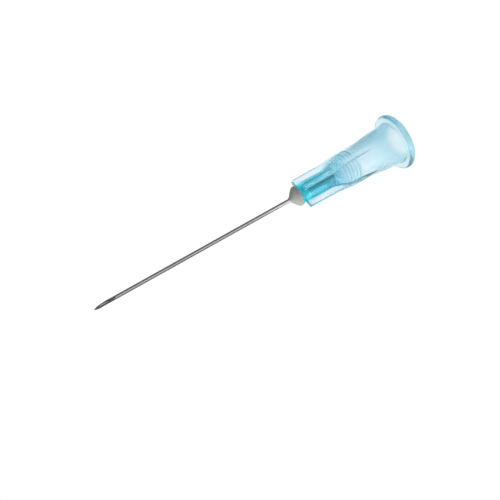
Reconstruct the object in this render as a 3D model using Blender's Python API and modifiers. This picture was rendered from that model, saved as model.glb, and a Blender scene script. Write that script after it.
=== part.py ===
"""A single-use hypodermic needle: a moulded hub, a steel cannula and the bead of adhesive that
holds them together.

Metres, +Z up. The part stands on the open end of its hub. The origin is the middle of that end
face, and the cannula points up along +Z. The four fins lie along +X, -X, +Y and -Y, and the
ground face of the point looks along -Y.
"""

import math

import bmesh
import bpy
from mathutils import Matrix, Vector

MM = 0.001

# Hub: lengths along the axis, stacked from the open end face up
FLANGE_THICKNESS = 0.9 * MM
SKIRT_LENGTH = 1.5 * MM
FLARE_LENGTH = 6.2 * MM
BARREL_LENGTH = 0.35 * MM
SHOULDER_LENGTH = 3.7 * MM
NOSE_LENGTH = 4.65 * MM

# Hub: the tapered socket that a syringe goes into. The taper is on the radius.
SOCKET_MOUTH_RADIUS = 2.15 * MM
SOCKET_TAPER = 0.03
MOUTH_CHAMFER = 0.15 * MM
FUNNEL_RISE = 0.4 * MM
FUNNEL_LENGTH = 1.9 * MM

# Hub: walls round the socket, and how far the flange stands out from them
SKIRT_WALL = 0.77 * MM
BARREL_WALL = 0.32 * MM
FLANGE_REACH = 1.03 * MM
FLANGE_EDGE = 0.4 * MM
FLANGE_FILLET = 0.25 * MM

# Hub: the nose round the cannula, its cupped rim and the well for the adhesive
NOSE_RADIUS = 1.25 * MM
NOSE_TAPER = 0.012
RIM_REACH = 0.13 * MM
RIM_LENGTH = 0.2 * MM
RIM_FLARE = 0.4 * MM
RIM_WALL = 0.16 * MM
WELL_DEPTH = 1.45 * MM
WELL_FLOOR = 0.1 * MM

# Hub: fins along the nose and barrel, and fine grip rings round the barrel
FIN_COUNT = 4
FIN_THICKNESS = 0.6 * MM
FIN_SETBACK = 0.64 * MM
FIN_NOSE_HEIGHT = 0.97 * MM
FIN_BARREL_HEIGHT = 0.38 * MM
FIN_FADE_LENGTH = 4.6 * MM
FIN_CORNER = 0.25 * MM
FIN_EDGE = 0.07 * MM
FIN_SINK = 0.08 * MM
RING_COUNT = 5
RING_PITCH = 0.53 * MM
RING_START = 1.4 * MM
RING_WIDTH = 0.3 * MM
RING_HEIGHT = 0.09 * MM
RING_ROOM = 1.3

# Cannula: a steel tube, sold by the length that stands out of the hub
NEEDLE_LENGTH = 32.0 * MM
CANNULA_RADIUS = 0.257 * MM
CANNULA_BORE_RADIUS = 0.13 * MM

# Cannula: the ground point, one long face and two short ones that meet at its tip
BEVEL_ANGLE = math.radians(8.4)
LANCET_ANGLE = math.radians(19.0)
LANCET_TURN = math.radians(38.0)
LANCET_SETBACK = 0.12 * MM

# Adhesive: a rounded cone on the rim, with a plug that fills the well
BEAD_HEIGHT = 1.35 * MM
BEAD_LIP = 0.04 * MM
BEAD_FEATHER = 0.03 * MM
BEAD_ROUNDNESS = 0.5

# Clearances between pieces
CHANNEL_CLEARANCE = 0.03 * MM
BEAD_CLEARANCE = 0.03 * MM

# Facets
HUB_STEPS = 48
BEAD_STEPS = 40
CANNULA_STEPS = 32
MERGE_DISTANCE = 0.000001

# The most of a wall that a round on its edges may take
ROUND_SHARE = 0.45

# Heights that follow from the lengths
SKIRT_TOP = FLANGE_THICKNESS + SKIRT_LENGTH
BARREL_FOOT = SKIRT_TOP + FLARE_LENGTH
SHOULDER_FOOT = BARREL_FOOT + BARREL_LENGTH
SHOULDER_TOP = SHOULDER_FOOT + SHOULDER_LENGTH
HUB_TOP = SHOULDER_TOP + NOSE_LENGTH
FUNNEL_FOOT = SHOULDER_FOOT + FUNNEL_RISE
CANNULA_FOOT = FUNNEL_FOOT + FUNNEL_LENGTH
WELL_FOOT = HUB_TOP - WELL_DEPTH
RIM_FOOT = HUB_TOP - RIM_LENGTH
FIN_FRONT = HUB_TOP - FIN_SETBACK
TIP_HEIGHT = HUB_TOP + NEEDLE_LENGTH

# Radii that follow from the fits
CHANNEL_RADIUS = CANNULA_RADIUS + CHANNEL_CLEARANCE
WELL_FLOOR_RADIUS = CHANNEL_RADIUS + WELL_FLOOR
RIM_RADIUS = NOSE_RADIUS + RIM_REACH
WELL_MOUTH_RADIUS = RIM_RADIUS - RIM_WALL


def mix(start, end, share):
    return start + (end - start) * share


def smooth_step(share):
    """0 to 1 with level ends, held at both of them beyond."""
    share = min(max(share, 0.0), 1.0)
    return share * share * (3.0 - 2.0 * share)


def spread(start, end, count):
    """count steps from start to end, as count + 1 values."""
    return [mix(start, end, i / count) for i in range(count + 1)]


def arc(centre, radius, start, end, count):
    """Points (r, z) of an arc between two angles in degrees."""
    points = []
    for angle in spread(math.radians(start), math.radians(end), count):
        points.append((centre[0] + radius * math.cos(angle), centre[1] + radius * math.sin(angle)))
    return points


def socket_radius(z):
    return SOCKET_MOUTH_RADIUS - SOCKET_TAPER * z


def nose_radius(z):
    return NOSE_RADIUS + NOSE_TAPER * (HUB_TOP - z)


def flare_share(z):
    """0 on the barrel, 1 on the skirt."""
    return smooth_step((BARREL_FOOT - z) / FLARE_LENGTH)


def wall_radius(z):
    """Outside of the wall round the socket, from the flange to the shoulder."""
    return socket_radius(z) + mix(BARREL_WALL, SKIRT_WALL, flare_share(z))


def body_radius(z):
    """Outside of the hub above the flange, without its fins and rings."""
    if z <= SHOULDER_FOOT:
        return wall_radius(z)
    if z < SHOULDER_TOP:
        share = smooth_step((z - SHOULDER_FOOT) / SHOULDER_LENGTH)
        return mix(wall_radius(SHOULDER_FOOT), nose_radius(SHOULDER_TOP), share)
    return mix(nose_radius(z), RIM_RADIUS, smooth_step((z - RIM_FOOT + RIM_FLARE) / RIM_FLARE))


def bore_radius(z):
    """Inside of the hub: socket, funnel, channel, then the well for the adhesive."""
    if z <= FUNNEL_FOOT:
        return socket_radius(z)
    if z <= CANNULA_FOOT:
        share = (z - FUNNEL_FOOT) / FUNNEL_LENGTH
        return mix(socket_radius(FUNNEL_FOOT), CHANNEL_RADIUS, share)
    if z < WELL_FOOT:
        return CHANNEL_RADIUS
    return mix(WELL_FLOOR_RADIUS, WELL_MOUTH_RADIUS, (z - WELL_FOOT) / WELL_DEPTH)


def ring_heights():
    """Middle of each grip ring, the first one on the shoulder."""
    return [SHOULDER_FOOT + RING_START - i * RING_PITCH for i in range(RING_COUNT)]


def ring_rise(z):
    """How far a grip ring lifts the surface at this height."""
    rise = 0.0
    for middle in ring_heights():
        rise = max(rise, RING_HEIGHT * smooth_step(1.0 - 2.0 * abs(z - middle) / RING_WIDTH))
    return rise


def fin_radius(z):
    """Outer edge of a fin. It sinks below the flare where the fin ends."""
    fade = smooth_step((BARREL_FOOT - z) / FIN_FADE_LENGTH)
    on_barrel = wall_radius(z) + mix(FIN_BARREL_HEIGHT, -FIN_SINK, fade)
    on_nose = nose_radius(z) + FIN_NOSE_HEIGHT
    return mix(on_barrel, on_nose, smooth_step((z - SHOULDER_FOOT) / SHOULDER_LENGTH))


def body_stations():
    """Heights at which the outside of the hub gets a point, from the rim down.

    Points within RING_ROOM of a ring's half width give way to the ring's own.
    """
    ring_half = 0.5 * RING_WIDTH
    stations = spread(HUB_TOP - RIM_LENGTH, HUB_TOP - RIM_LENGTH - RIM_FLARE, 4)
    stations += spread(SHOULDER_TOP, SHOULDER_FOOT, 8)
    stations += spread(BARREL_FOOT, SKIRT_TOP, 8)
    for middle in ring_heights():
        near = [z for z in stations if abs(z - middle) < RING_ROOM * ring_half]
        stations = [z for z in stations if z not in near]
        stations += spread(middle + ring_half, middle - ring_half, 4)
    lowest = FLANGE_THICKNESS + FLANGE_FILLET
    return sorted((z for z in stations if z > lowest), reverse=True)


def hub_profile():
    """Closed outline of the turned hub, down its outer side and back up its bore."""
    flange_radius = SOCKET_MOUTH_RADIUS + SKIRT_WALL + FLANGE_REACH
    edge = min(FLANGE_EDGE, ROUND_SHARE * FLANGE_THICKNESS)
    fillet = min(FLANGE_FILLET, FLANGE_REACH - edge)
    fillet_radius = wall_radius(FLANGE_THICKNESS + fillet) + fillet
    points = [(WELL_MOUTH_RADIUS, HUB_TOP), (RIM_RADIUS, HUB_TOP)]
    for z in body_stations():
        points.append((body_radius(z) + ring_rise(z), z))
    points += arc((fillet_radius, FLANGE_THICKNESS + fillet), fillet, 180, 270, 4)
    points += arc((flange_radius - edge, FLANGE_THICKNESS - edge), edge, 90, 0, 4)
    points += arc((flange_radius - edge, edge), edge, 0, -90, 4)
    points.append((SOCKET_MOUTH_RADIUS + MOUTH_CHAMFER, 0.0))
    points.append((socket_radius(MOUTH_CHAMFER), MOUTH_CHAMFER))
    points.append((bore_radius(FUNNEL_FOOT), FUNNEL_FOOT))
    points.append((CHANNEL_RADIUS, CANNULA_FOOT))
    points.append((CHANNEL_RADIUS, WELL_FOOT))
    points.append((WELL_FLOOR_RADIUS, WELL_FOOT))
    return points


def fin_outline():
    """Outline of one fin at +X as (x, z), rooted in the middle of the hub's wall."""
    root = []
    for z in spread(SKIRT_TOP, FIN_FRONT, 24):
        root.append((0.5 * (body_radius(z) + bore_radius(z)), z))
    corner = (fin_radius(FIN_FRONT) - FIN_CORNER, FIN_FRONT - FIN_CORNER)
    edge = [(fin_radius(z), z) for z in spread(corner[1], SKIRT_TOP, 24)]
    return root + arc(corner, FIN_CORNER, 90, 0, 4)[:-1] + edge


def bead_profile():
    """Closed outline of the adhesive: its cone on the rim, then its plug in the well."""
    bore = CANNULA_RADIUS + BEAD_CLEARANCE
    foot = HUB_TOP + BEAD_CLEARANCE
    lip = RIM_RADIUS + BEAD_LIP
    points = []
    for share in spread(1.0, 0.0, 12):
        flow = mix(share, smooth_step(share), BEAD_ROUNDNESS)
        points.append((mix(lip, bore + BEAD_FEATHER, flow), foot + BEAD_HEIGHT * share))
    points.append((WELL_MOUTH_RADIUS - BEAD_CLEARANCE, foot))
    points.append((WELL_FLOOR_RADIUS - BEAD_CLEARANCE, WELL_FOOT + BEAD_CLEARANCE))
    points.append((bore, WELL_FOOT + BEAD_CLEARANCE))
    points.append((bore, foot + BEAD_HEIGHT))
    return points


def clear_scene():
    for obj in list(bpy.data.objects):
        bpy.data.objects.remove(obj, do_unlink=True)


def new_collection(name):
    collection = bpy.data.collections.new(name)
    bpy.context.scene.collection.children.link(collection)
    return collection


def new_material(name, colour, roughness, metallic=0.0, alpha=1.0):
    material = bpy.data.materials.new(name)
    material.use_nodes = True
    shader = material.node_tree.nodes["Principled BSDF"]
    shader.inputs["Base Color"].default_value = (*colour, 1.0)
    shader.inputs["Roughness"].default_value = roughness
    shader.inputs["Metallic"].default_value = metallic
    shader.inputs["Alpha"].default_value = alpha
    return material


def new_object(name, mesh, collection):
    obj = bpy.data.objects.new(name, mesh)
    collection.objects.link(obj)
    return obj


def turned(name, profile, steps, collection):
    """An object whose closed (r, z) profile is spun round Z by a Screw modifier."""
    mesh = bpy.data.meshes.new(name)
    count = len(profile)
    edges = [(i, (i + 1) % count) for i in range(count)]
    mesh.from_pydata([(r, 0.0, z) for r, z in profile], edges, [])
    obj = new_object(name, mesh, collection)
    screw = obj.modifiers.new("turn", "SCREW")
    screw.axis = "Z"
    screw.steps = steps
    screw.render_steps = steps
    screw.use_merge_vertices = True
    screw.merge_threshold = MERGE_DISTANCE
    return obj


def mark_as_tool(obj):
    obj.hide_render = True
    obj.display_type = "WIRE"


def add_boolean(obj, tool, operation):
    modifier = obj.modifiers.new(tool.name, "BOOLEAN")
    modifier.operation = operation
    modifier.solver = "EXACT"
    modifier.object = tool


def settle(obj, material):
    """Turns the modifiers into plain mesh, shades it smooth and gives it its material."""
    bpy.context.view_layer.update()
    evaluated = obj.evaluated_get(bpy.context.evaluated_depsgraph_get())
    mesh = bpy.data.meshes.new_from_object(evaluated)
    obj.modifiers.clear()
    obj.data = mesh
    mesh.name = obj.name
    mesh.materials.clear()
    mesh.materials.append(material)
    mesh.shade_smooth()
    mesh.set_sharp_from_angle(angle=math.radians(32.0))


def fin_mesh():
    """The flat outline of a fin in the plane y = 0."""
    mesh = bpy.data.meshes.new("fin")
    shape = bmesh.new()
    shape.faces.new([shape.verts.new((x, 0.0, z)) for x, z in fin_outline()])
    shape.to_mesh(mesh)
    shape.free()
    return mesh


def make_hub(parts, tools):
    """Turned body with its socket, funnel, channel and well, joined to four moulded fins."""
    hub = turned("hub", hub_profile(), HUB_STEPS, parts)
    outline = fin_mesh()
    for i in range(FIN_COUNT):
        fin = new_object(f"fin_{i + 1}", outline, tools)
        fin.rotation_euler = (0.0, 0.0, i * math.tau / FIN_COUNT)
        slab = fin.modifiers.new("slab", "SOLIDIFY")
        slab.thickness = FIN_THICKNESS
        slab.offset = 0.0
        edge = fin.modifiers.new("edge", "BEVEL")
        edge.width = min(FIN_EDGE, ROUND_SHARE * FIN_THICKNESS)
        edge.segments = 2
        edge.limit_method = "ANGLE"
        edge.angle_limit = math.radians(60.0)
        mark_as_tool(fin)
        add_boolean(hub, fin, "UNION")
    plastic = new_material("clear_blue_plastic", (0.42, 0.76, 0.88), 0.22, alpha=0.75)
    settle(hub, plastic)


def grind_block(name, normal, point, tools):
    """A block that grinds away everything on the normal's side of a plane through the point."""
    size = 8.0 * (CANNULA_RADIUS / math.sin(BEVEL_ANGLE))
    shape = bmesh.new()
    bmesh.ops.create_cube(shape, size=size)
    bmesh.ops.translate(shape, vec=(0.0, 0.0, 0.5 * size), verts=shape.verts)
    turn = Vector((0.0, 0.0, 1.0)).rotation_difference(normal).to_matrix().to_4x4()
    shape.transform(Matrix.Translation(point) @ turn)
    mesh = bpy.data.meshes.new(name)
    shape.to_mesh(mesh)
    shape.free()
    block = new_object(name, mesh, tools)
    mark_as_tool(block)
    return block


def make_cannula(parts, tools):
    """Drawn tube, ground to one long face and two lancet faces whose crossing is the tip."""
    stock_top = TIP_HEIGHT + 2.0 * CANNULA_RADIUS
    profile = [
        (CANNULA_RADIUS, stock_top),
        (CANNULA_RADIUS, CANNULA_FOOT),
        (CANNULA_BORE_RADIUS, CANNULA_FOOT),
        (CANNULA_BORE_RADIUS, stock_top),
    ]
    cannula = turned("cannula", profile, CANNULA_STEPS, parts)
    back_line = Vector((0.0, CANNULA_RADIUS, TIP_HEIGHT))
    long_face = Vector((0.0, -math.cos(BEVEL_ANGLE), math.sin(BEVEL_ANGLE)))
    long_point = back_line + Vector((0.0, 0.0, LANCET_SETBACK))
    add_boolean(cannula, grind_block("long_grind", long_face, long_point, tools), "DIFFERENCE")
    short_face = Vector((0.0, -math.cos(LANCET_ANGLE), math.sin(LANCET_ANGLE)))
    for side, turn in (("left", -LANCET_TURN), ("right", LANCET_TURN)):
        face = Matrix.Rotation(turn, 3, "Z") @ short_face
        block = grind_block(f"{side}_grind", face, back_line, tools)
        add_boolean(cannula, block, "DIFFERENCE")
    steel = new_material("drawn_steel", (0.62, 0.62, 0.61), 0.25, metallic=1.0)
    settle(cannula, steel)


def make_bead(parts):
    """Adhesive poured into the well and drawn up the cannula as a small cone."""
    bead = turned("adhesive_bead", bead_profile(), BEAD_STEPS, parts)
    resin = new_material("grey_resin", (0.56, 0.54, 0.5), 0.55)
    settle(bead, resin)


def make_needle():
    clear_scene()
    parts = new_collection("hypodermic_needle")
    tools = new_collection("cutters")
    make_hub(parts, tools)
    make_cannula(parts, tools)
    make_bead(parts)


make_needle()
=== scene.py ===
import math

import bpy
from mathutils import Matrix, Vector


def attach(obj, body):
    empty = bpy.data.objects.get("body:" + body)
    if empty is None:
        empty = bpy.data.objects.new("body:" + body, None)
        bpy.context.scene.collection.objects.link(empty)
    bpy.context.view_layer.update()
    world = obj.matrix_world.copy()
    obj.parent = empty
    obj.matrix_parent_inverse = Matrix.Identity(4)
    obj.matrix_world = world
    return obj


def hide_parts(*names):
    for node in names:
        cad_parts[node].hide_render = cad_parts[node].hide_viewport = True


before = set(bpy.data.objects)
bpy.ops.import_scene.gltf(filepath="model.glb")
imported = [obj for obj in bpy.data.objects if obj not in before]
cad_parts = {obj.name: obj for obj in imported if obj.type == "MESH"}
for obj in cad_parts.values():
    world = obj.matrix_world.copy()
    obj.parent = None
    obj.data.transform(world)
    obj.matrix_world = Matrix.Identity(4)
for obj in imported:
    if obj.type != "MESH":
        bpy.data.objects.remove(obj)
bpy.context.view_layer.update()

# Camera: it looks at the standing needle from a little above and from the side of its ground
# face, and it is rolled so that the needle points down and to the left, as in the photograph.
# Lengths here and below are in millimetres, as in the solids, and MM turns them into metres.
MM = 0.001
CAMERA_AZIMUTH = math.radians(-20.5)
CAMERA_ELEVATION = math.radians(23.5)
CAMERA_ROLL = math.radians(119.5)
CAMERA_DISTANCE = 220.0
CAMERA_ABOVE_FLANGE = 24.34
CAMERA_LEFT_OF_AXIS = 3.12
FLANGE_MIDDLE = 0.45
LENS = 116.57
CLIP_START = 1.0

look_back = Vector((
    math.sin(CAMERA_AZIMUTH) * math.cos(CAMERA_ELEVATION),
    -math.cos(CAMERA_AZIMUTH) * math.cos(CAMERA_ELEVATION),
    math.sin(CAMERA_ELEVATION),
))
level_right = Vector((math.cos(CAMERA_AZIMUTH), math.sin(CAMERA_AZIMUTH), 0.0))
level_up = look_back.cross(level_right)
camera_place = Vector((0.0, 0.0, FLANGE_MIDDLE)) + CAMERA_DISTANCE * look_back
camera_place += CAMERA_ABOVE_FLANGE * level_up - CAMERA_LEFT_OF_AXIS * level_right
camera_right = math.cos(CAMERA_ROLL) * level_right - math.sin(CAMERA_ROLL) * level_up
camera_up = look_back.cross(camera_right)
camera = bpy.data.objects.new("camera", bpy.data.cameras.new("camera"))
camera.data.lens = LENS
camera.data.clip_start = CLIP_START * MM
camera.matrix_world = Matrix.Translation(camera_place * MM) @ Matrix(
    (camera_right, camera_up, look_back)).transposed().to_4x4()
bpy.context.scene.collection.objects.link(camera)
bpy.context.scene.camera = camera

# Hub: one injection moulding in clear polypropylene with a blue tint, 17.3 mm long. It is a
# turned form (flange, skirt, barrel, shoulder, nose and cupped rim) with a tapered socket, a
# funnel, a channel and a well inside, four fins outside and fine grip rings on the barrel.
FLANGE_THICKNESS = 0.9
FLANGE_REACH = 1.03
FLANGE_EDGE = 0.4
FLANGE_FILLET = 0.25
SKIRT_TOP = 2.4
SKIRT_WALL = 0.77
BARREL_FOOT = 8.6
BARREL_WALL = 0.32
SHOULDER_FOOT = 8.95
SHOULDER_TOP = 12.65
NOSE_RADIUS = 1.25
NOSE_TAPER = 0.012
HUB_TOP = 17.3
RIM_RADIUS = 1.38
RIM_LENGTH = 0.2
RIM_FLARE = 0.4
RIM_EDGE = 0.05
SOCKET_MOUTH_RADIUS = 2.15
SOCKET_TAPER = 0.03
MOUTH_CHAMFER = 0.15
FUNNEL_FOOT = 9.35
CANNULA_FOOT = 11.25
CHANNEL_RADIUS = 0.25
WELL_FOOT = 15.886
WELL_FLOOR_RADIUS = 0.35
WELL_MOUTH_RADIUS = 1.184
FIN_COUNT = 4
FIN_THICKNESS = 0.6
FIN_FRONT = 16.66
FIN_NOSE_HEIGHT = 0.97
FIN_BARREL_HEIGHT = 0.38
FIN_FADE_LENGTH = 4.6
FIN_SINK = 0.08
FIN_CORNER = 0.25
FIN_EDGE = 0.11
FIN_EDGE_SEGMENTS = 3
FIN_EDGE_ANGLE = math.radians(60.0)
RING_COUNT = 5
RING_PITCH = 0.53
RING_START = 1.4
RING_WIDTH = 0.3
RING_HEIGHT = 0.09
RIM_STEPS = 8
RIM_EDGE_STEPS = 3
SHOULDER_STEPS = 12
RING_STEPS = 72
FLARE_STEPS = 24
FLANGE_STEPS = 10
FUNNEL_STEPS = 6
FIN_STEPS = 60
FIN_CORNER_STEPS = 8
TURN_STEPS = 144
MERGE_DISTANCE = 1e-7
SHARP_DEGREES = 32.0


def mix(start, end, share):
    return start + (end - start) * share


def smooth_step(share):
    """0 to 1 with level ends, held at both of them beyond."""
    share = min(max(share, 0.0), 1.0)
    return share * share * (3.0 - 2.0 * share)


def spread(start, end, count):
    """count steps from start to end, as count + 1 values."""
    return [mix(start, end, i / count) for i in range(count + 1)]


def arc(centre, radius, start, end, count):
    """Points (r, z) of an arc between two angles in degrees."""
    turns = spread(math.radians(start), math.radians(end), count)
    return [(centre[0] + radius * math.cos(t), centre[1] + radius * math.sin(t)) for t in turns]


def socket_radius(z):
    return SOCKET_MOUTH_RADIUS - SOCKET_TAPER * z


def nose_radius(z):
    return NOSE_RADIUS + NOSE_TAPER * (HUB_TOP - z)


def flare_share(z):
    """0 on the barrel, 1 on the skirt."""
    return smooth_step((BARREL_FOOT - z) / (BARREL_FOOT - SKIRT_TOP))


def wall_radius(z):
    return socket_radius(z) + mix(BARREL_WALL, SKIRT_WALL, flare_share(z))


def shoulder_share(z):
    """0 on the barrel, 1 on the nose."""
    return smooth_step((z - SHOULDER_FOOT) / (SHOULDER_TOP - SHOULDER_FOOT))


def ring_rise(z):
    """How far a grip ring stands out at this height."""
    rise = 0.0
    for i in range(RING_COUNT):
        away = abs(z - (SHOULDER_FOOT + RING_START - i * RING_PITCH))
        rise = max(rise, RING_HEIGHT * smooth_step(1.0 - 2.0 * away / RING_WIDTH))
    return rise


def body_radius(z):
    """Outside of the hub above the flange, without its fins and rings."""
    if z < SHOULDER_TOP:
        return mix(wall_radius(min(z, SHOULDER_FOOT)), nose_radius(SHOULDER_TOP), shoulder_share(z))
    flare = smooth_step((z - (HUB_TOP - RIM_LENGTH - RIM_FLARE)) / RIM_FLARE)
    return mix(nose_radius(z), RIM_RADIUS, flare)


def bore_radius(z):
    """Inside of the hub: socket, funnel, channel, then the well for the adhesive."""
    if z <= FUNNEL_FOOT:
        return socket_radius(z)
    if z <= CANNULA_FOOT:
        share = (z - FUNNEL_FOOT) / (CANNULA_FOOT - FUNNEL_FOOT)
        return mix(socket_radius(FUNNEL_FOOT), CHANNEL_RADIUS, share)
    if z < WELL_FOOT:
        return CHANNEL_RADIUS
    return mix(WELL_FLOOR_RADIUS, WELL_MOUTH_RADIUS, (z - WELL_FOOT) / (HUB_TOP - WELL_FOOT))


def fin_radius(z):
    """Outer edge of a fin. It sinks below the flare where the fin ends."""
    fade = smooth_step((BARREL_FOOT - z) / FIN_FADE_LENGTH)
    on_barrel = wall_radius(z) + mix(FIN_BARREL_HEIGHT, -FIN_SINK, fade)
    return mix(on_barrel, nose_radius(z) + FIN_NOSE_HEIGHT, shoulder_share(z))


def hub_profile():
    """Closed outline of the turned hub, down its outer side and back up its bore."""
    flange_radius = SOCKET_MOUTH_RADIUS + SKIRT_WALL + FLANGE_REACH
    fillet_foot = FLANGE_THICKNESS + FLANGE_FILLET
    fillet_radius = wall_radius(fillet_foot) + FLANGE_FILLET
    rim_foot = HUB_TOP - RIM_LENGTH
    ring_top = SHOULDER_FOOT + RING_START + RING_WIDTH
    ring_foot = ring_top - RING_COUNT * RING_PITCH - RING_WIDTH
    heights = spread(rim_foot, rim_foot - RIM_FLARE, RIM_STEPS)
    heights += spread(SHOULDER_TOP, ring_top, SHOULDER_STEPS)
    heights += spread(ring_top, ring_foot, RING_STEPS)[1:]
    heights += spread(ring_foot, SKIRT_TOP, FLARE_STEPS)[1:]
    points = [(WELL_MOUTH_RADIUS, HUB_TOP), (RIM_RADIUS - RIM_EDGE, HUB_TOP)]
    points += arc((RIM_RADIUS - RIM_EDGE, HUB_TOP - RIM_EDGE), RIM_EDGE, 90, 0, RIM_EDGE_STEPS)[1:]
    points += [(body_radius(z) + ring_rise(z), z) for z in heights]
    points += arc((fillet_radius, fillet_foot), FLANGE_FILLET, 180, 270, FLANGE_STEPS)
    points += arc((flange_radius - FLANGE_EDGE, FLANGE_THICKNESS - FLANGE_EDGE),
                  FLANGE_EDGE, 90, 0, FLANGE_STEPS)
    points += arc((flange_radius - FLANGE_EDGE, FLANGE_EDGE), FLANGE_EDGE, 0, -90, FLANGE_STEPS)
    points.append((SOCKET_MOUTH_RADIUS + MOUTH_CHAMFER, 0.0))
    points.append((socket_radius(MOUTH_CHAMFER), MOUTH_CHAMFER))
    points += [(bore_radius(z), z) for z in spread(FUNNEL_FOOT, CANNULA_FOOT, FUNNEL_STEPS)]
    points.append((CHANNEL_RADIUS, WELL_FOOT))
    points.append((WELL_FLOOR_RADIUS, WELL_FOOT))
    return points


def add_object(name, corners=(), edges=(), faces=()):
    """An object in the scene, with its corners in millimetres."""
    mesh = bpy.data.meshes.new(name)
    mesh.from_pydata([[value * MM for value in corner] for corner in corners], edges, faces)
    obj = bpy.data.objects.new(name, mesh)
    bpy.context.scene.collection.objects.link(obj)
    return obj


def turned(name, profile, steps):
    """An object whose closed (r, z) profile is spun round Z."""
    count = len(profile)
    obj = add_object(name, [(r, 0.0, z) for r, z in profile],
                     edges=[(i, (i + 1) % count) for i in range(count)])
    screw = obj.modifiers.new("turn", "SCREW")
    screw.axis = "Z"
    screw.steps = screw.render_steps = steps
    screw.use_merge_vertices = True
    screw.merge_threshold = MERGE_DISTANCE
    return obj


def settle(obj, sharp_degrees=SHARP_DEGREES):
    """Turns an object's modifiers into plain mesh with smooth shading."""
    bpy.context.view_layer.update()
    evaluated = obj.evaluated_get(bpy.context.evaluated_depsgraph_get())
    mesh = bpy.data.meshes.new_from_object(evaluated)
    obj.modifiers.clear()
    obj.data = mesh
    mesh.shade_smooth()
    mesh.set_sharp_from_angle(angle=math.radians(sharp_degrees))
    return obj


class Wire:
    """A socket in a node tree. Arithmetic on it adds Math nodes, make() adds any other node."""

    def __init__(self, tree, socket=None):
        self.tree = tree
        self.socket = socket

    def make(self, kind, settings=None, sockets=None, output=0):
        """One output of a new node. Wires among its sockets are linked, other values are set."""
        node = self.tree.nodes.new(kind)
        for name, value in (settings or {}).items():
            if name == "stops":
                while len(node.color_ramp.elements) < len(value):
                    node.color_ramp.elements.new(1.0)
                for stop, (place, colour) in zip(node.color_ramp.elements, value):
                    stop.position = place
                    stop.color = colour
            else:
                setattr(node, name, value)
        for name, value in (sockets or {}).items():
            for one in value if isinstance(value, list) else [value]:
                if isinstance(one, Wire):
                    self.tree.links.new(one.socket, node.inputs[name])
                else:
                    node.inputs[name].default_value = one
        return Wire(self.tree, node.outputs[output] if node.outputs else None)

    def outputs(self, *names):
        """Outputs of the node that this socket is on."""
        return [Wire(self.tree, self.socket.node.outputs[name]) for name in names]

    def math(self, operation, *others):
        """A Math node with this socket as its first value."""
        values = dict(enumerate((self, *others)))
        return self.make("ShaderNodeMath", {"operation": operation}, values)

    def __add__(self, other):
        return self.math("ADD", other)

    def __sub__(self, other):
        return self.math("SUBTRACT", other)

    def __rsub__(self, other):
        return self.make("ShaderNodeMath", {"operation": "SUBTRACT"}, {0: other, 1: self})

    def __mul__(self, other):
        return self.math("MULTIPLY", other)

    __radd__ = __add__
    __rmul__ = __mul__


def geometry_tree(name, inputs):
    """A Geometry Nodes tree with named inputs, as its first wires by name."""
    tree = bpy.data.node_groups.new(name, "GeometryNodeTree")
    tree.interface.new_socket("Geometry", in_out="OUTPUT", socket_type="NodeSocketGeometry")
    for label, kind in inputs.items():
        tree.interface.new_socket(label, in_out="INPUT", socket_type="NodeSocket" + kind)
    source = tree.nodes.new("NodeGroupInput")
    return tree, {label: Wire(tree, source.outputs[label]) for label in inputs}


def finish_tree(shape, material):
    """Ends a tree with real geometry in one material."""
    real = shape.make("GeometryNodeRealizeInstances", sockets={"Geometry": shape})
    dressed = real.make("GeometryNodeSetMaterial", sockets={"Geometry": real, "Material": material})
    dressed.make("NodeGroupOutput", sockets={0: dressed})


def add_tree(obj, tree, values):
    """Puts a tree on an object, with its inputs set by identifier."""
    modifier = obj.modifiers.new(tree.name, "NODES")
    modifier.node_group = tree
    for item in tree.interface.items_tree:
        if item.in_out == "INPUT" and item.name in values:
            modifier[item.identifier] = values[item.name]


def new_material(name):
    """An empty material, and a wire to make its nodes with."""
    material = bpy.data.materials.new(name)
    material.use_nodes = True
    material.node_tree.nodes.clear()
    return material, Wire(material.node_tree)


def noise(place, scale, detail):
    """A cloudy pattern, with its scale per metre."""
    return place.make("ShaderNodeTexNoise", sockets={
        "Vector": place, "Scale": scale, "Detail": detail})


def bump(height, strength, depth):
    """The normals of a surface with this pattern of heights, its depth in millimetres."""
    return height.make("ShaderNodeBump", sockets={
        "Strength": strength, "Distance": depth * MM, "Height": height})


def ranged(value, low, high, start=0.0, end=1.0, kind="LINEAR"):
    """start to end as a value goes from low to high, held at both of them beyond."""
    return value.make("ShaderNodeMapRange", {"interpolation_type": kind}, {
        "Value": value, "From Min": low, "From Max": high, "To Min": start, "To Max": end})


def blend(share, start, end):
    """The colour between two. The sockets are given by number, because a Mix node has the same
    names for its plain values and its colours."""
    return share.make("ShaderNodeMix", {"data_type": "RGBA"}, {0: share, 6: start, 7: end}, 2)


# The plastic is clear with a blue tint, and its thickness makes the colour: the solid nose is deep,
# the walls and fins are pale. Just under the skin of the nose and on the grip rings the colour is
# painted a little stronger, as painted shade: for the light that the thick nose holds back, and for
# the dark lines along the rings. Round the well and the channel the skin is painted a bright blue,
# as painted light that the plastic carries in. The bore and the rings are duller than the rest.
PLASTIC_COLOUR = (0.0, 0.75, 0.87, 1.0)
PLASTIC_DENSITY = 200.0
PLASTIC_IOR = 1.49
PLASTIC_CLARITY = 0.96
PLASTIC_ROUGHNESS = 0.2
LAMP_LIGHT_PASSED = 0.9
PALE_SKIN = (0.885, 0.93, 0.97, 1.0)
DEEP_PAINTED_SHADE = (0.02, 0.54, 0.7, 1.0)
WELL_PAINTED_LIGHT = (0.05, 0.93, 0.97, 1.0)
HAZE_NOISE = (900.0, 3.0)
HAZE_ROUGHNESS = 0.08
BORE_ROUGHNESS = 0.12
FLOW_NOISE = (260.0, 2.0)
FLOW_BUMP = (0.12, 0.04)
TINT_FOOT = 7.0
CORE_FOOT = 9.1
CORE_TOP = 12.9
CORE_EDGE = 0.06
CORE_FADE = 0.2
CORE_TONE = 0.8
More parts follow.
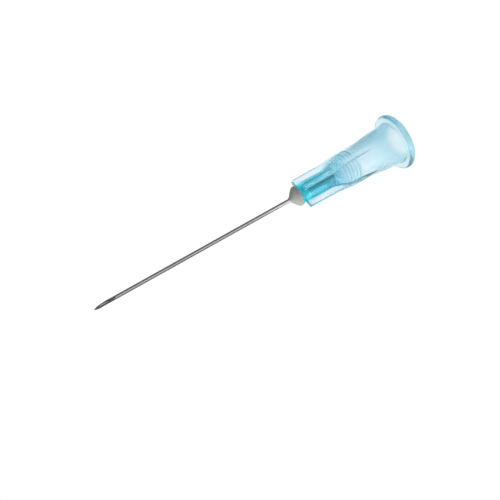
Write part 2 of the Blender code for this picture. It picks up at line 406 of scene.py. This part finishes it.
CORE_HAZE = 0.4
RING_TONE = 0.6
RING_TONE_REACH = (0.12 * RING_PITCH, 0.32 * RING_PITCH)
GROUND_TONE = 0.25
GROUND_TONE_REACH = (0.4 * RING_PITCH, 1.1 * RING_PITCH)
RING_ROUGHNESS = 0.4
WELL_MARGIN = 0.03
CHANNEL_REACH = 1.5 * CHANNEL_RADIUS

plastic, wire = new_material("clear_blue_plastic")
place = wire.make("ShaderNodeTexCoord", output="Object")
haze = noise(place, *HAZE_NOISE)
flow = noise(place, *FLOW_NOISE)
axes = place.make("ShaderNodeSeparateXYZ", sockets={"Vector": place})
across, away, height = [length * (1.0 / MM) for length in axes.outputs("X", "Y", "Z")]
reach = (across * across + away * away).math("SQRT")
outside = (reach + height * SOCKET_TAPER).math(
    "GREATER_THAN", SOCKET_MOUTH_RADIUS + 0.5 * BARREL_WALL)
above_socket = height.math("GREATER_THAN", FUNNEL_FOOT)
in_bore = 1.0 - outside.math("MAXIMUM", above_socket)
# Painted shade: just under the skin of the nose and shoulder, the skin is painted a deeper blue.
core_radius = ranged(height, SHOULDER_FOOT, SHOULDER_TOP, wall_radius(TINT_FOOT),
                     nose_radius(SHOULDER_TOP), "SMOOTHSTEP")
within = 1.0 - ranged(reach - core_radius, CORE_EDGE, CORE_FADE)
painted_core_shade = ranged(height, CORE_FOOT, CORE_TOP) * within * (CORE_TONE + haze * CORE_HAZE)

# The grip rings count down from 0 at the top one, and off_ring is how far the nearest one is.
from_top_ring = height - (SHOULDER_FOOT + RING_START)
rings_away = (from_top_ring * (1.0 / RING_PITCH)).math("ROUND")
nearest = rings_away.math("MINIMUM", 0.0).math("MAXIMUM", 1.0 - RING_COUNT)
off_ring = (from_top_ring - nearest * RING_PITCH).math("ABSOLUTE")
# Painted shade: the grip rings and the ground beside them get a deeper blue skin. The same mask
# also makes them duller.
on_ring = ranged(off_ring, *RING_TONE_REACH, RING_TONE, 0.0, "SMOOTHSTEP")
ground = ranged(off_ring, *GROUND_TONE_REACH, GROUND_TONE, 0.0, "SMOOTHSTEP")
ring_shade_and_dullness = on_ring.math("MAXIMUM", ground) * outside * within
# Painted light: round the well and the channel the skin is painted a bright blue, for the light
# that the plastic carries in.
at_well = height.math("GREATER_THAN", WELL_FOOT - WELL_MARGIN)
in_channel = reach.math("LESS_THAN", CHANNEL_REACH)
deep = blend(at_well.math("MAXIMUM", in_channel), DEEP_PAINTED_SHADE, WELL_PAINTED_LIGHT)
clear = wire.make("ShaderNodeBsdfPrincipled", sockets={
    "Base Color": blend(painted_core_shade.math("MAXIMUM", ring_shade_and_dullness), PALE_SKIN, deep),
    "Roughness": (PLASTIC_ROUGHNESS + haze * HAZE_ROUGHNESS + in_bore * BORE_ROUGHNESS
                  + ring_shade_and_dullness * RING_ROUGHNESS),
    "IOR": PLASTIC_IOR, "Transmission Weight": PLASTIC_CLARITY,
    "Normal": bump(flow, *FLOW_BUMP)})
shadow_ray = wire.make("ShaderNodeLightPath", output="Is Shadow Ray")
through = wire.make("ShaderNodeBsdfTransparent")
surface = wire.make("ShaderNodeMixShader", sockets={
    0: shadow_ray * LAMP_LIGHT_PASSED, 1: clear, 2: through})
tint = wire.make("ShaderNodeVolumeAbsorption", sockets={
    "Color": PLASTIC_COLOUR, "Density": PLASTIC_DENSITY})
wire.make("ShaderNodeOutputMaterial", sockets={"Surface": surface, "Volume": tint})

# The fins' flat outline is drawn once, then a tree gives it its thickness and repeats it.
fin_corner = (fin_radius(FIN_FRONT) - FIN_CORNER, FIN_FRONT - FIN_CORNER)
fin_outline = [(0.5 * (body_radius(z) + bore_radius(z)), z)
               for z in spread(SKIRT_TOP, FIN_FRONT, FIN_STEPS)]
fin_outline += arc(fin_corner, FIN_CORNER, 90, 0, FIN_CORNER_STEPS)[:-1]
fin_outline += [(fin_radius(z), z) for z in spread(fin_corner[1], SKIRT_TOP, FIN_STEPS)]
fins = add_object("fins", [(x, 0.0, z) for x, z in fin_outline], faces=[range(len(fin_outline))])

tree, given = geometry_tree("moulded_fins", {
    "Outline": "Geometry", "Count": "Int", "Thickness": "Float", "Material": "Material"})
outline = given["Outline"]
slab = outline.make("GeometryNodeExtrudeMesh", {"mode": "FACES"}, {
    "Mesh": outline, "Offset": (0.0, 1.0, 0.0), "Offset Scale": given["Thickness"],
    "Individual": False})
back = outline.make("GeometryNodeFlipFaces", sockets={"Mesh": outline})
slab = outline.make("GeometryNodeJoinGeometry", sockets={"Geometry": [slab, back]})
slab = outline.make("GeometryNodeMergeByDistance", sockets={
    "Geometry": slab, "Distance": MERGE_DISTANCE})
shift = outline.make("ShaderNodeCombineXYZ", sockets={"Y": given["Thickness"] * -0.5})
slab = outline.make("GeometryNodeTransform", sockets={"Geometry": slab, "Translation": shift})
seats = outline.make("GeometryNodeMeshLine", sockets={
    "Count": given["Count"], "Offset": (0.0, 0.0, 0.0)})
number = outline.make("GeometryNodeInputIndex")
turn = outline.make("ShaderNodeCombineXYZ", sockets={
    "Z": (number * math.tau).math("DIVIDE", given["Count"])})
ring_of_fins = outline.make("GeometryNodeInstanceOnPoints", sockets={
    "Points": seats, "Instance": slab, "Rotation": turn})
finish_tree(ring_of_fins, given["Material"])
add_tree(fins, tree, {
    "Count": FIN_COUNT, "Thickness": FIN_THICKNESS * MM, "Material": plastic})
soft_edge = fins.modifiers.new("edge", "BEVEL")
soft_edge.width = FIN_EDGE * MM
soft_edge.segments = FIN_EDGE_SEGMENTS
soft_edge.limit_method = "ANGLE"
soft_edge.angle_limit = FIN_EDGE_ANGLE
settle(fins)

hub = turned("hub_moulding", hub_profile(), TURN_STEPS)
join = hub.modifiers.new("join", "BOOLEAN")
join.operation = "UNION"
join.solver = "EXACT"
join.object = fins
settle(hub)
hub.data.materials.clear()
hub.data.materials.append(plastic)
bpy.data.objects.remove(fins)
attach(hub, "root")
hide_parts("hub")

# Cannula: a drawn tube of stainless steel, 0.51 mm across, with its bore open at both ends. Its
# point is ground in three strokes: one long face, then two short ones that meet at the tip. The
# length that is glued into the hub is roughened, and it is painted a blue grey, as painted light
# for the blue that reaches it through the plastic round it.
CANNULA_RADIUS = 0.257
BORE_RADIUS = 0.13
TIP_HEIGHT = 49.3
BEVEL_ANGLE = math.radians(8.4)
LANCET_ANGLE = math.radians(19.0)
LANCET_TURN = math.radians(38.0)
LANCET_SETBACK = 0.12
BLOCK_SIZE = 10.0
TIP_EXCESS = 0.5
BORE_EXCESS = 1.0
TUBE_STEPS = 64
TUBE_SHARP_DEGREES = 25.0
STEEL_DARK = (0.36, 0.36, 0.355, 1.0)
STEEL_LIGHT = (0.5, 0.5, 0.495, 1.0)
STEEL_PAINTED_HUB_LIGHT = (0.18, 0.48, 0.5, 1.0)
STEEL_ROUGHNESS = 0.16
GLUED_ROUGHNESS = 0.35
LINE_NOISE = (9000.0, 4.0)
LINE_STRETCH = 0.02
LINE_BUMP = (0.25, 0.004)
LINE_ROUGHNESS = 0.14
NOISE_LOW = 0.3
NOISE_HIGH = 0.7

steel, wire = new_material("drawn_steel")
place = wire.make("ShaderNodeTexCoord", output="Object")
along = place.make("ShaderNodeMapping", sockets={
    "Vector": place, "Scale": (1.0, 1.0, LINE_STRETCH)})
lines = noise(along, *LINE_NOISE)
level = place.make("ShaderNodeSeparateXYZ", sockets={"Vector": place}, output="Z")
glued = level.math("LESS_THAN", WELL_FOOT * MM)
drawn = lines.make("ShaderNodeValToRGB", {
    "stops": [(NOISE_LOW, STEEL_DARK), (NOISE_HIGH, STEEL_LIGHT)]}, {"Fac": lines})
# Painted light: the glued length is coloured blue grey for the light that comes through the hub.
metal = wire.make("ShaderNodeBsdfPrincipled", sockets={
    "Base Color": blend(glued, drawn, STEEL_PAINTED_HUB_LIGHT), "Metallic": 1.0,
    "Roughness": STEEL_ROUGHNESS + lines * LINE_ROUGHNESS + glued * GLUED_ROUGHNESS,
    "Normal": bump(lines, *LINE_BUMP)})
wire.make("ShaderNodeOutputMaterial", sockets={"Surface": metal})

tree, given = geometry_tree("ground_tube", {
    "Foot": "Float", "Top": "Float", "Radius": "Float", "Bore": "Float", "Steps": "Int",
    "Material": "Material"})
foot = given["Foot"]


def rod(start, end, radius):
    """A straight rod up Z as a swept circle."""
    low = foot.make("ShaderNodeCombineXYZ", sockets={"Z": start})
    high = foot.make("ShaderNodeCombineXYZ", sockets={"Z": end})
    path = foot.make("GeometryNodeCurvePrimitiveLine", sockets={"Start": low, "End": high})
    circle = foot.make("GeometryNodeCurvePrimitiveCircle", sockets={
        "Resolution": given["Steps"], "Radius": radius})
    return foot.make("GeometryNodeCurveToMesh", sockets={
        "Curve": path, "Profile Curve": circle, "Fill Caps": True})


def grind(angle, turn, height):
    """A block that takes off all above a plane through the back line of the tube."""
    block = foot.make("GeometryNodeMeshCube", sockets={"Size": (BLOCK_SIZE * MM,) * 3})
    block = foot.make("GeometryNodeTransform", sockets={
        "Geometry": block, "Translation": (0.0, 0.0, 0.5 * BLOCK_SIZE * MM)})
    block = foot.make("GeometryNodeTransform", sockets={
        "Geometry": block, "Rotation": (0.5 * math.pi - angle, 0.0, 0.0)})
    return foot.make("GeometryNodeTransform", sockets={
        "Geometry": block, "Rotation": (0.0, 0.0, turn),
        "Translation": (0.0, CANNULA_RADIUS * MM, height * MM)})


tube = foot.make("GeometryNodeMeshBoolean", {"operation": "DIFFERENCE", "solver": "EXACT"}, {
    "Mesh 1": rod(foot, given["Top"], given["Radius"]),
    "Mesh 2": [
        rod(foot - BORE_EXCESS * MM, given["Top"] + BORE_EXCESS * MM, given["Bore"]),
        grind(BEVEL_ANGLE, 0.0, TIP_HEIGHT + LANCET_SETBACK),
        grind(LANCET_ANGLE, -LANCET_TURN, TIP_HEIGHT),
        grind(LANCET_ANGLE, LANCET_TURN, TIP_HEIGHT),
    ]})
finish_tree(tube, given["Material"])
cannula = add_object("needle_tube")
add_tree(cannula, tree, {
    "Foot": CANNULA_FOOT * MM, "Top": (TIP_HEIGHT + TIP_EXCESS) * MM,
    "Radius": CANNULA_RADIUS * MM, "Bore": BORE_RADIUS * MM, "Steps": TUBE_STEPS,
    "Material": steel})
settle(cannula, TUBE_SHARP_DEGREES)
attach(cannula, "root")
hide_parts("cannula")

# Adhesive: resin that was poured into the well of the nose and cured. It fills the well, where it
# is painted a light blue, as painted light for the light that reaches it through the hub. It stands
# on the rim as a small rounded cone and is drawn up the tube. It wets both, so its mesh overlaps
# theirs a little and light passes from one to the next.
OVERLAP = 0.007
BEAD_HEIGHT = 1.35
BEAD_LIP = 0.04
BEAD_FEATHER = 0.03
BEAD_ROUNDNESS = 0.5
BEAD_STEPS = 32
BEAD_TURN_STEPS = 96
RESIN_DARK = (0.41, 0.425, 0.4, 1.0)
RESIN_LIGHT = (0.52, 0.54, 0.51, 1.0)
RESIN_PAINTED_WELL_LIGHT = (0.14, 0.72, 0.83, 1.0)
RESIN_ROUGHNESS = 0.4
RIM_MARGIN = 0.02
CLOUD_NOISE = (1500.0, 4.0)
GRAIN_NOISE = (6000.0, 2.0)
GRAIN_BUMP = (0.3, 0.02)
GRAIN_ROUGHNESS = 0.25

resin, wire = new_material("grey_resin")
place = wire.make("ShaderNodeTexCoord", output="Object")
cloud = noise(place, *CLOUD_NOISE)
grain = noise(place, *GRAIN_NOISE)
level = place.make("ShaderNodeSeparateXYZ", sockets={"Vector": place}, output="Z")
# Painted light: below the rim the resin is coloured a light blue, for the light that comes through
# the hub.
in_well = level.math("LESS_THAN", (HUB_TOP - RIM_MARGIN) * MM)
outer = cloud.make("ShaderNodeValToRGB", {
    "stops": [(NOISE_LOW, RESIN_DARK), (NOISE_HIGH, RESIN_LIGHT)]}, {"Fac": cloud})
cured = wire.make("ShaderNodeBsdfPrincipled", sockets={
    "Base Color": blend(in_well, outer, RESIN_PAINTED_WELL_LIGHT),
    "Roughness": RESIN_ROUGHNESS + grain * GRAIN_ROUGHNESS,
    "Normal": bump(grain, *GRAIN_BUMP)})
wire.make("ShaderNodeOutputMaterial", sockets={"Surface": cured})

bead_bore = CANNULA_RADIUS - OVERLAP
bead_foot = HUB_TOP - OVERLAP
bead_profile = []
for share in spread(1.0, 0.0, BEAD_STEPS):
    rounded = mix(share, smooth_step(share), BEAD_ROUNDNESS)
    bead_profile.append((mix(RIM_RADIUS + BEAD_LIP, bead_bore + BEAD_FEATHER, rounded),
                         bead_foot + BEAD_HEIGHT * share))
bead_profile.append((WELL_MOUTH_RADIUS + OVERLAP, bead_foot))
bead_profile.append((WELL_FLOOR_RADIUS + OVERLAP, WELL_FOOT - OVERLAP))
bead_profile.append((bead_bore, WELL_FOOT - OVERLAP))
bead_profile.append((bead_bore, bead_foot + BEAD_HEIGHT))
bead = settle(turned("adhesive", bead_profile, BEAD_TURN_STEPS))
bead.data.materials.append(resin)
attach(bead, "root")
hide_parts("adhesive_bead")

# Floor: a wide white sheet. For the eye, and in glass and metal, it is lifted to plain white,
# and the shadow of the needle stays on it.
FLOOR_SIZE = 6000.0
FLOOR_DROP = 0.02
PLAIN_WHITE = (1.0, 1.0, 1.0, 1.0)
PAPER_WHITE = (0.75, 0.75, 0.75, 1.0)
FLOOR_GLOW = 1.1
SHADOW_SHARE = 0.15


def looked_at(wire):
    """1 where a ray looks, from the eye, by reflection or through glass, and 0 where it lights."""
    rays = wire.make("ShaderNodeLightPath").outputs(
        "Is Camera Ray", "Is Glossy Ray", "Is Transmission Ray")
    return (rays[0] + rays[1] + rays[2]).math("MINIMUM", 1.0)


white, wire = new_material("white_floor")
paper = wire.make("ShaderNodeBsdfDiffuse", sockets={"Color": PAPER_WHITE})
glow = wire.make("ShaderNodeEmission", sockets={"Color": PLAIN_WHITE, "Strength": FLOOR_GLOW})
lifted = wire.make("ShaderNodeMixShader", sockets={
    0: 1.0 - looked_at(wire) * (1.0 - SHADOW_SHARE), 1: glow, 2: paper})
wire.make("ShaderNodeOutputMaterial", sockets={"Surface": lifted})
half = 0.5 * FLOOR_SIZE
floor_corners = [(x, y, -FLOOR_DROP)
                 for x, y in ((-half, -half), (half, -half), (half, half), (-half, half))]
floor = add_object("floor", floor_corners, faces=[(0, 1, 2, 3)])
floor.data.materials.append(white)

# Lamps: a large soft one on the side that the photograph shows bright, and a weak one above.
# Neither shows through the plastic.
LAMP_AIM = Vector((0.0, 0.0, 20.0))


def softbox(name, place, size, power):
    """A square lamp that looks at the middle of the needle."""
    lamp = bpy.data.lights.new(name, "AREA")
    lamp.size = size * MM
    lamp.energy = power
    obj = bpy.data.objects.new(name, lamp)
    obj.location = Vector(place) * MM
    obj.rotation_mode = "QUATERNION"
    obj.rotation_quaternion = (LAMP_AIM - Vector(place)).to_track_quat("-Z", "Y")
    obj.visible_transmission = False
    bpy.context.scene.collection.objects.link(obj)


softbox("key", (-500.0, 180.0, 320.0), 700.0, 3.8)
softbox("top", (100.0, 150.0, 600.0), 400.0, 0.4)

# Cards: two bent grey ones stand beside the needle and show only in reflections, as in a
# studio, where they draw the dark lines along polished steel. Each one here has its first turn
# round the needle, its last turn and the height of its foot.
CARDS = {"right_card": (8.0, 120.0, 0.0), "left_card": (-160.0, -80.0, 4.0)}
CARD_GREY = (0.23, 0.23, 0.23, 1.0)
CARD_DISTANCE = 30.0
CARD_HEIGHT = 70.0
BEND_STEPS = 24


def around(distance, turn, height=0.0):
    """A point at a distance from the needle, at a turn in degrees from its front."""
    turn = math.radians(turn)
    return (distance * math.sin(turn), -distance * math.cos(turn), height)


def lighting_aid(name, corners, faces, material, reflected):
    """An object that shows only in reflections or, if not reflected, only through plastic."""
    obj = add_object(name, corners, faces=faces)
    obj.data.materials.append(material)
    obj.visible_camera = obj.visible_diffuse = False
    obj.visible_glossy = reflected
    obj.visible_transmission = not reflected
    obj.visible_shadow = obj.visible_volume_scatter = False
    return obj


grey, wire = new_material("grey_card")
card_face = wire.make("ShaderNodeBsdfDiffuse", sockets={"Color": CARD_GREY})
wire.make("ShaderNodeOutputMaterial", sockets={"Surface": card_face})
for name, (start, end, foot_height) in CARDS.items():
    corners = [around(CARD_DISTANCE, turn, height)
               for turn in spread(start, end, BEND_STEPS)
               for height in (foot_height, foot_height + CARD_HEIGHT)]
    strips = [(i, i + 2, i + 3, i + 1) for i in range(0, 2 * BEND_STEPS, 2)]
    card = lighting_aid(name, corners, strips, grey, reflected=True)

# Sheets: three glowing sheets lie on the table and paint light and shade into the plastic and the
# metal. The near one runs from a painted blue shade on the right to bright on the left, and draws
# the deep band of painted shade along the right side of the barrel. The far one is painted light
# that brightens the left side of the solid nose. Both show only through the plastic, and the third
# only as a painted highlight in reflections.
SHEET_LIGHT = 1.6
GLOSS_LIGHT = 3.8
BLUE_PAINTED_SHADE = (0.0, 0.33, 0.45, 1.0)
WHITE = (0.745, 0.72, 0.71, 1.0)
BRIGHT = (0.82, 0.82, 0.82, 1.0)
WARM_PAINTED_LIGHT = (1.0, 0.84, 0.78, 1.0)
PLAIN = (0.55, 0.57, 0.62, 1.0)
SHADE = (0.47, 0.46, 0.45, 1.0)


def sheet(name, near, far, start, end, strength, stops, reflected=False, slant=0.0):
    """A flat sheet between two distances and two turns round the needle. Its light follows
    stops by turn, which move on outwards by slant degrees per millimetre."""
    lit, wire = new_material(name)
    place = wire.make("ShaderNodeTexCoord", output="Object")
    axes = place.make("ShaderNodeSeparateXYZ", sockets={"Vector": place})
    right, back = axes.outputs("X", "Y")
    reach = (right * right + back * back).math("SQRT")
    turn = right.math("ARCTAN2", 0.0 - back).math("FLOORED_MODULO", math.tau)
    turn = turn - (reach - near * MM) * (math.radians(slant) / MM)
    share = ranged(turn, math.radians(start), math.radians(end))
    tone = share.make("ShaderNodeValToRGB", {
        "stops": [((at - start) / (end - start), colour) for at, colour in stops]}, {"Fac": share})
    light = wire.make("ShaderNodeEmission", sockets={"Color": tone, "Strength": strength})
    wire.make("ShaderNodeOutputMaterial", sockets={"Surface": light})
    turns = spread(start, end, BEND_STEPS)
    corners = [around(near, turn) for turn in turns]
    corners += [around(far, turn) for turn in reversed(turns)]
    obj = lighting_aid(name, corners, [range(len(corners))], lit, reflected)


sheet("near_sheet", 4.2, 22.0, 90.0, 215.0, SHEET_LIGHT, [
    (90.0, BLUE_PAINTED_SHADE), (119.0, BLUE_PAINTED_SHADE), (132.0, WHITE), (150.0, WHITE), (163.0, BRIGHT)], slant=2.1)
sheet("far_sheet", 22.0, 45.0, 100.0, 210.0, SHEET_LIGHT, [
    (100.0, WARM_PAINTED_LIGHT), (144.0, WARM_PAINTED_LIGHT), (150.0, WHITE), (158.0, WHITE), (166.0, PLAIN),
    (176.0, PLAIN), (184.0, SHADE)])
sheet("gloss_sheet", 27.0, 48.0, 230.0, 300.0, GLOSS_LIGHT, [
    (230.0, PLAIN_WHITE), (300.0, PLAIN_WHITE)], reflected=True)

# Room: an even white all round. As a light on things it is dimmer than it looks to the eye, in
# glass and in metal, as a studio's far walls are.
ROOM_LIGHT = 0.28

world = bpy.data.worlds.new("studio")
world.use_nodes = True
world.node_tree.nodes.clear()
wire = Wire(world.node_tree)
room = wire.make("ShaderNodeBackground", sockets={
    "Color": PLAIN_WHITE, "Strength": ROOM_LIGHT + looked_at(wire) * (1.0 - ROOM_LIGHT)})
wire.make("ShaderNodeOutputWorld", sockets={"Surface": room})
bpy.context.scene.world = world
bpy.context.scene.view_settings.view_transform = "Standard"
